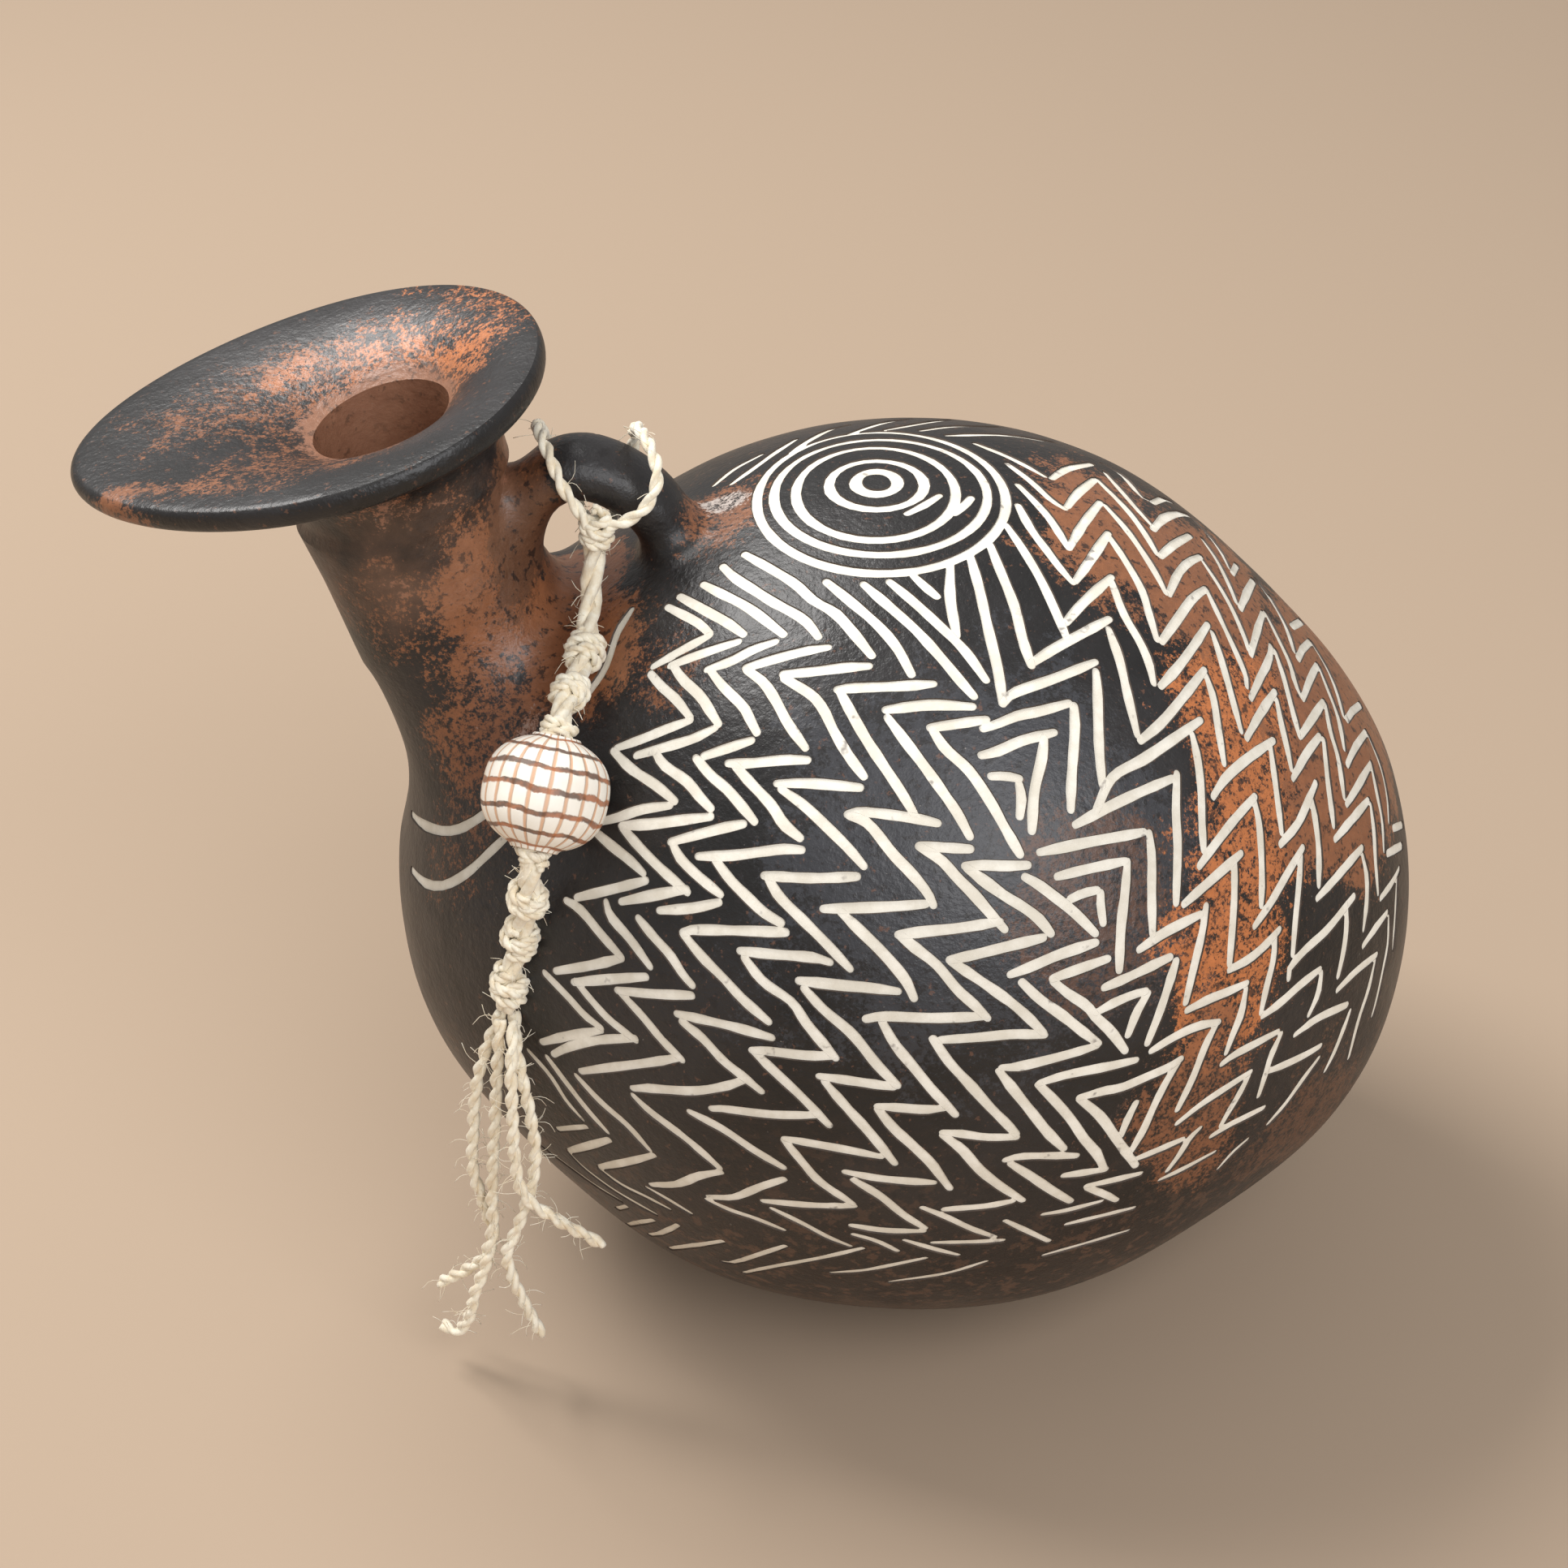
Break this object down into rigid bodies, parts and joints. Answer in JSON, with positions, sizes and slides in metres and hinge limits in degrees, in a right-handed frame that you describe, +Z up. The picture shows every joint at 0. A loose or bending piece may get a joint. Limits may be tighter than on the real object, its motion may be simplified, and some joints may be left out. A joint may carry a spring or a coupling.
{
  "type": "askos",
  "caption": "Hand-built clay askos: egg-shaped hollow body, leaning neck with a wide oval lip, loop handle with a knotted twine and a bead.",
  "frame": {"origin": "middle of the flat foot, on the surface the vessel stands on", "axes": "+Z up, -X towards the neck and pouring lobe, XZ is the vessel's plane of symmetry"},
  "size_m": [0.2522, 0.174, 0.1983],
  "materials": {
    "clay": "burnished black with red-brown patches and white-filled incisions",
    "twine": "hairy plied hemp twine",
    "bead": "pale clay with brown cross-hatching"
  },
  "bodies": {
    "root": {"vessel": "clay", "bead": "bead", "cord_trunk": "twine", "cord_loop_left": "twine", "cord_loop_right": "twine", "cord_strand_1": "twine", "cord_strand_2": "twine", "cord_strand_3": "twine", "cord_strand_4": "twine"}
  },
  "joints": []
}
